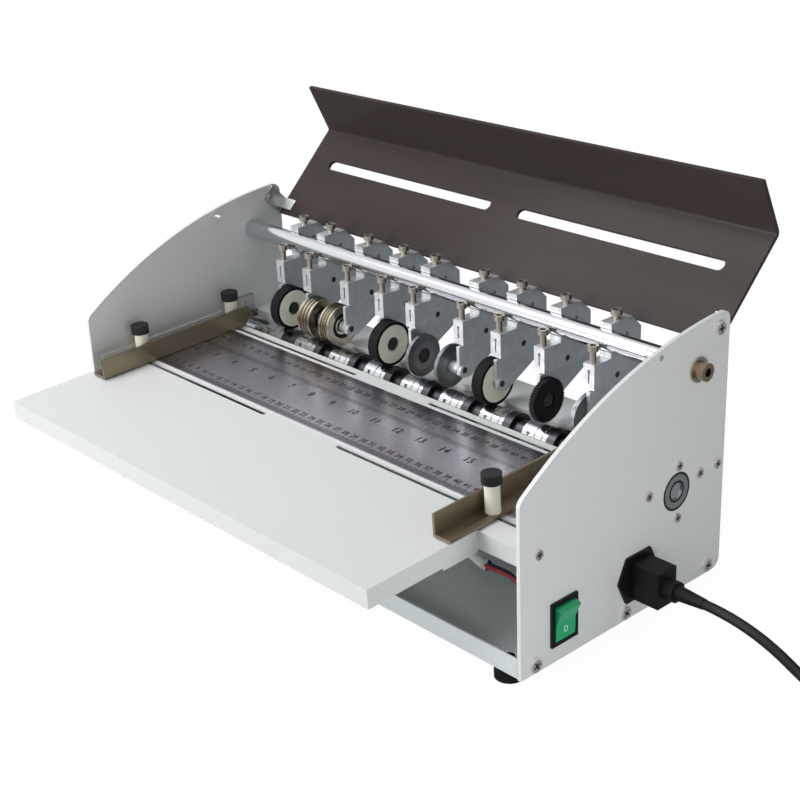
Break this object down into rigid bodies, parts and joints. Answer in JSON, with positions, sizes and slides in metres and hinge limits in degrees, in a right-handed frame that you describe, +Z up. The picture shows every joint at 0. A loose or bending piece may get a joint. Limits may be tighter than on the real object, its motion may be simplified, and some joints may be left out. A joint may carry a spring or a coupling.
{
  "type": "paper creasing machine",
  "caption": "Desktop paper creasing machine with tool arms over a driven ring shaft, a sloping feed table with side guides, a tilting lid and a mains lead.",
  "frame": {"origin": "centre of the footprint on the surface that the rubber feet stand on, lead left out", "axes": "+X along the shafts towards the side with the switch and inlet, +Y from the front tray to the back, +Z up"},
  "size_m": [0.7675, 0.4021, 0.2922],
  "materials": {
    "painted_sheet": "fine textured light grey-white paint",
    "ruler_sheet": "satin grey with dark scale marks",
    "guide_sheet": "zinc plated, slightly bronze tint",
    "arm_sheet": "bright zinc plated",
    "lever_sheet": "blue-grey zinc",
    "bright_steel": "polished",
    "shaft_steel": "ground bright collars, dark rings",
    "tool_steel": "dark blackened steel",
    "screw_steel": "zinc plated",
    "black_plastic": "fine grained black",
    "cream_plastic": "smooth cream, black tyre or cap on it",
    "green_plastic": "translucent green",
    "smoked_plastic": "see-through smoked sheet",
    "rubber_black": "matte",
    "motor_metal": "dark grey",
    "wire_sheath": "smooth insulation, red, dark blue and black"
  },
  "bodies": {
    "frame": {"left_side_plate": "painted_sheet", "right_side_plate": "painted_sheet", "base_pan": "painted_sheet", "rubber_feet": "rubber_black", "feed_table": "painted_sheet", "front_tray": "painted_sheet", "ruler_plate": "ruler_sheet", "rear_table": "painted_sheet", "arm_rod": "bright_steel", "rod_bolts": "screw_steel", "shaft_bearings": "screw_steel", "drive_motor": "motor_metal", "drive_belt": "rubber_black", "plate_screws": "screw_steel", "switch_housing": "black_plastic", "power_inlet": "black_plastic", "cord_connector": "black_plastic", "power_cord": "black_plastic", "cord_coil": "black_plastic", "mains_plug": "black_plastic", "wiring": "wire_sheath"},
    "lid": {"lid_panel": "smoked_plastic", "lid_brackets": "arm_sheet"},
    "left_guide": {"left_guide": "guide_sheet"},
    "right_guide": {"right_guide": "guide_sheet"},
    "left_front_knob": {"left_front_knob": "black_plastic"},
    "left_back_knob": {"left_back_knob": "black_plastic"},
    "right_front_knob": {"right_front_knob": "black_plastic"},
    "right_back_knob": {"right_back_knob": "black_plastic"},
    "drive_shaft": {"drive_shaft": "bright_steel", "shaft_rings": "shaft_steel"},
    "motor_shaft": {"motor_pulley": "screw_steel"},
    "rocker": {"switch_rocker": "green_plastic"},
    "arm_1": {"arm_1_holder": "arm_sheet"},
    "lever_1": {"arm_1_lever": "lever_sheet"},
    "wheel_1": {"arm_1_wheel": "cream_plastic"},
    "arm_2": {"arm_2_holder": "arm_sheet"},
    "lever_2": {"arm_2_lever": "lever_sheet"},
    "wheel_2": {"arm_2_wheel": "bright_steel"},
    "arm_3": {"arm_3_holder": "arm_sheet"},
    "lever_3": {"arm_3_lever": "lever_sheet"},
    "wheel_3": {"arm_3_wheel": "bright_steel"},
    "arm_4": {"arm_4_holder": "arm_sheet"},
    "lever_4": {"arm_4_lever": "lever_sheet"},
    "wheel_4": {"arm_4_wheel": "cream_plastic"},
    "arm_5": {"arm_5_holder": "arm_sheet"},
    "lever_5": {"arm_5_lever": "lever_sheet"},
    "wheel_5": {"arm_5_wheel": "tool_steel"},
    "arm_6": {"arm_6_holder": "arm_sheet"},
    "lever_6": {"arm_6_lever": "lever_sheet"},
    "wheel_6": {"arm_6_wheel": "tool_steel"},
    "arm_7": {"arm_7_holder": "arm_sheet"},
    "lever_7": {"arm_7_lever": "lever_sheet"},
    "wheel_7": {"arm_7_wheel": "cream_plastic"},
    "arm_8": {"arm_8_holder": "arm_sheet"},
    "lever_8": {"arm_8_lever": "lever_sheet"},
    "wheel_8": {"arm_8_wheel": "tool_steel"},
    "arm_9": {"arm_9_holder": "arm_sheet"},
    "lever_9": {"arm_9_lever": "lever_sheet"},
    "wheel_9": {"arm_9_wheel": "tool_steel"}
  },
  "joints": [
    {"name": "lid_hinge", "type": "hinge", "parent": "frame", "child": "lid", "pos_m": [0, 0.10036, 0.2015], "axis": [1, 0, 0], "range_deg": [0, 151.4]},
    {"name": "left_guide_slide", "type": "slide", "parent": "frame", "child": "left_guide", "axis": [1, 0, 0], "range_m": [-0.002, 0.036]},
    {"name": "right_guide_slide", "type": "slide", "parent": "frame", "child": "right_guide", "axis": [1, 0, 0], "range_m": [-0.005, 0.0415]},
    {"name": "left_front_knob_turn", "type": "hinge", "parent": "left_guide", "child": "left_front_knob", "pos_m": [-0.2315, -0.05517, 0.09459], "axis": [0, -0.0401, 0.9992], "range_deg": [-90, 270]},
    {"name": "left_back_knob_turn", "type": "hinge", "parent": "left_guide", "child": "left_back_knob", "pos_m": [-0.2315, 0.03975, 0.0984], "axis": [0, -0.0401, 0.9992], "range_deg": [-90, 270]},
    {"name": "right_front_knob_turn", "type": "hinge", "parent": "right_guide", "child": "right_front_knob", "pos_m": [0.1835, -0.05517, 0.09459], "axis": [0, -0.0401, 0.9992], "range_deg": [-90, 270]},
    {"name": "right_back_knob_turn", "type": "hinge", "parent": "right_guide", "child": "right_back_knob", "pos_m": [0.1835, 0.03975, 0.0984], "axis": [0, -0.0401, 0.9992], "range_deg": [-90, 270]},
    {"name": "rocker_tilt", "type": "hinge", "parent": "frame", "child": "rocker", "pos_m": [0.2485, -0.05644, 0.0415], "axis": [0, -1, 0], "range_deg": [0, 24.8]},
    {"name": "shaft_spin", "type": "hinge", "parent": "frame", "child": "drive_shaft", "pos_m": [0, 0.06016, 0.092], "axis": [1, 0, 0], "continuous": true},
    {"name": "motor_spin", "type": "hinge", "parent": "frame", "child": "motor_shaft", "pos_m": [0, 0.01686, 0.052], "axis": [1, 0, 0], "continuous": true},
    {"name": "arm_1_slide", "type": "slide", "parent": "frame", "child": "arm_1", "axis": [1, 0, 0], "range_m": [-0.02, 0.007]},
    {"name": "lever_1_swing", "type": "hinge", "parent": "arm_1", "child": "lever_1", "pos_m": [-0.18548, 0.08746, 0.1495], "axis": [-1, 0, 0], "range_deg": [0, 1.5], "stiffness_Nm_per_rad": 1.5, "springref_deg": -8.59},
    {"name": "wheel_1_spin", "type": "hinge", "parent": "lever_1", "child": "wheel_1", "pos_m": [-0.18548, 0.06346, 0.1234], "axis": [1, 0, 0], "continuous": true},
    {"name": "arm_2_slide", "type": "slide", "parent": "frame", "child": "arm_2", "axis": [1, 0, 0], "range_m": [-0.009, 0]},
    {"name": "lever_2_swing", "type": "hinge", "parent": "arm_2", "child": "lever_2", "pos_m": [-0.14978, 0.08746, 0.1495], "axis": [-1, 0, 0], "range_deg": [0, 1.5], "stiffness_Nm_per_rad": 1.5, "springref_deg": -8.59},
    {"name": "wheel_2_spin", "type": "hinge", "parent": "lever_2", "child": "wheel_2", "pos_m": [-0.14978, 0.06346, 0.1234], "axis": [1, 0, 0], "continuous": true},
    {"name": "arm_3_slide", "type": "slide", "parent": "frame", "child": "arm_3", "axis": [1, 0, 0], "range_m": [-0.004, 0.018]},
    {"name": "lever_3_swing", "type": "hinge", "parent": "arm_3", "child": "lever_3", "pos_m": [-0.10088, 0.08746, 0.1495], "axis": [-1, 0, 0], "range_deg": [0, 1.5], "stiffness_Nm_per_rad": 1.5, "springref_deg": -8.59},
    {"name": "wheel_3_spin", "type": "hinge", "parent": "lever_3", "child": "wheel_3", "pos_m": [-0.10088, 0.06346, 0.1234], "axis": [1, 0, 0], "continuous": true},
    {"name": "arm_4_slide", "type": "slide", "parent": "frame", "child": "arm_4", "axis": [1, 0, 0], "range_m": [-0.015, 0.0018]},
    {"name": "lever_4_swing", "type": "hinge", "parent": "arm_4", "child": "lever_4", "pos_m": [-0.05809, 0.08746, 0.1495], "axis": [-1, 0, 0], "range_deg": [0, 1.5], "stiffness_Nm_per_rad": 1.5, "springref_deg": -8.59},
    {"name": "wheel_4_spin", "type": "hinge", "parent": "lever_4", "child": "wheel_4", "pos_m": [-0.05809, 0.06346, 0.1234], "axis": [1, 0, 0], "continuous": true},
    {"name": "arm_5_slide", "type": "slide", "parent": "frame", "child": "arm_5", "axis": [1, 0, 0], "range_m": [-0.014, 0.01]},
    {"name": "lever_5_swing", "type": "hinge", "parent": "arm_5", "child": "lever_5", "pos_m": [-0.02108, 0.08746, 0.1495], "axis": [-1, 0, 0], "range_deg": [0, 1.5], "stiffness_Nm_per_rad": 1.5, "springref_deg": -8.59},
    {"name": "wheel_5_spin", "type": "hinge", "parent": "lever_5", "child": "wheel_5", "pos_m": [-0.02108, 0.06346, 0.1234], "axis": [1, 0, 0], "continuous": true},
    {"name": "arm_6_slide", "type": "slide", "parent": "frame", "child": "arm_6", "axis": [1, 0, 0], "range_m": [-0.005, 0.018]},
    {"name": "lever_6_swing", "type": "hinge", "parent": "arm_6", "child": "lever_6", "pos_m": [0.0332, 0.08746, 0.1495], "axis": [-1, 0, 0], "range_deg": [0, 1.5], "stiffness_Nm_per_rad": 1.5, "springref_deg": -8.59},
    {"name": "wheel_6_spin", "type": "hinge", "parent": "lever_6", "child": "wheel_6", "pos_m": [0.0332, 0.06346, 0.1234], "axis": [1, 0, 0], "continuous": true},
    {"name": "arm_7_slide", "type": "slide", "parent": "frame", "child": "arm_7", "axis": [1, 0, 0], "range_m": [-0.008, 0.016]},
    {"name": "lever_7_swing", "type": "hinge", "parent": "arm_7", "child": "lever_7", "pos_m": [0.0732, 0.08746, 0.1495], "axis": [-1, 0, 0], "range_deg": [0, 1.5], "stiffness_Nm_per_rad": 1.5, "springref_deg": -8.59},
    {"name": "wheel_7_spin", "type": "hinge", "parent": "lever_7", "child": "wheel_7", "pos_m": [0.0732, 0.06346, 0.1234], "axis": [1, 0, 0], "continuous": true},
    {"name": "arm_8_slide", "type": "slide", "parent": "frame", "child": "arm_8", "axis": [1, 0, 0], "range_m": [-0.018, 0.009]},
    {"name": "lever_8_swing", "type": "hinge", "parent": "arm_8", "child": "lever_8", "pos_m": [0.11751, 0.08746, 0.1495], "axis": [-1, 0, 0], "range_deg": [0, 1.5], "stiffness_Nm_per_rad": 1.5, "springref_deg": -8.59},
    {"name": "wheel_8_spin", "type": "hinge", "parent": "lever_8", "child": "wheel_8", "pos_m": [0.11751, 0.06346, 0.1234], "axis": [1, 0, 0], "continuous": true},
    {"name": "arm_9_slide", "type": "slide", "parent": "frame", "child": "arm_9", "axis": [1, 0, 0], "range_m": [-0.011, 0.005]},
    {"name": "lever_9_swing", "type": "hinge", "parent": "arm_9", "child": "lever_9", "pos_m": [0.16528, 0.08746, 0.1495], "axis": [-1, 0, 0], "range_deg": [0, 1.5], "stiffness_Nm_per_rad": 1.5, "springref_deg": -8.59},
    {"name": "wheel_9_spin", "type": "hinge", "parent": "lever_9", "child": "wheel_9", "pos_m": [0.16528, 0.06346, 0.1234], "axis": [1, 0, 0], "continuous": true}
  ],
  "couplings": [
    {"joint": "motor_spin", "follows": "shaft_spin", "ratio": 1.1875},
    {"joint": "wheel_1_spin", "follows": "shaft_spin", "ratio": -0.6774},
    {"joint": "wheel_2_spin", "follows": "shaft_spin", "ratio": -0.72},
    {"joint": "wheel_3_spin", "follows": "shaft_spin", "ratio": -0.72},
    {"joint": "wheel_4_spin", "follows": "shaft_spin", "ratio": -0.6774},
    {"joint": "wheel_5_spin", "follows": "shaft_spin", "ratio": -0.72},
    {"joint": "wheel_6_spin", "follows": "shaft_spin", "ratio": -0.72},
    {"joint": "wheel_7_spin", "follows": "shaft_spin", "ratio": -0.6774},
    {"joint": "wheel_8_spin", "follows": "shaft_spin", "ratio": -0.72},
    {"joint": "wheel_9_spin", "follows": "shaft_spin", "ratio": -0.72}
  ]
}
